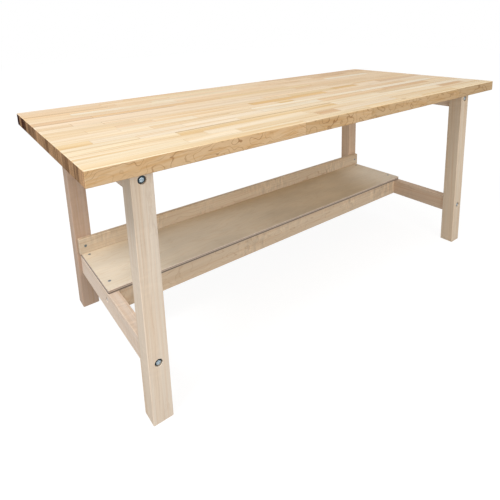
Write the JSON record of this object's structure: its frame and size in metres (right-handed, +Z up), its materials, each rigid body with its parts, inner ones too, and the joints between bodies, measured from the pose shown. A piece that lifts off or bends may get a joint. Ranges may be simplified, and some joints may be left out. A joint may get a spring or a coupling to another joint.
{
  "type": "assembly table",
  "caption": "Long table with a laminated wooden worktop on square legs, tied by bolted end rails and a stretcher, with a low plywood shelf and a back board.",
  "frame": {"origin": "on the floor, under the middle of the worktop", "axes": "+X along the table's length, -Y towards the front, +Z up"},
  "size_m": [2, 0.9, 0.85],
  "materials": {
    "worktop_wood": "oiled, satin",
    "frame_wood": "sanded, pale matt oil",
    "plywood": "sanded, matt",
    "zinc_steel": "bright zinc",
    "dowel_wood": "raw"
  },
  "bodies": {
    "root": {"worktop": "worktop_wood", "front_left_leg": "frame_wood", "front_right_leg": "frame_wood", "rear_left_leg": "frame_wood", "rear_right_leg": "frame_wood", "upper_left_rail": "frame_wood", "upper_right_rail": "frame_wood", "lower_left_rail": "frame_wood", "lower_right_rail": "frame_wood", "front_stretcher": "frame_wood", "back_board": "frame_wood", "shelf": "plywood", "upper_leg_screws": "zinc_steel", "upper_leg_washers": "zinc_steel", "lower_leg_screws": "zinc_steel", "lower_leg_washers": "zinc_steel", "stretcher_screws": "zinc_steel", "stretcher_washers": "zinc_steel", "worktop_screws": "zinc_steel", "worktop_washers": "zinc_steel", "shelf_screws": "zinc_steel", "back_board_screws": "zinc_steel", "shelf_edge_screws": "zinc_steel", "upper_rail_dowels": "dowel_wood", "lower_rail_dowels": "dowel_wood", "stretcher_dowels": "dowel_wood"}
  },
  "joints": []
}
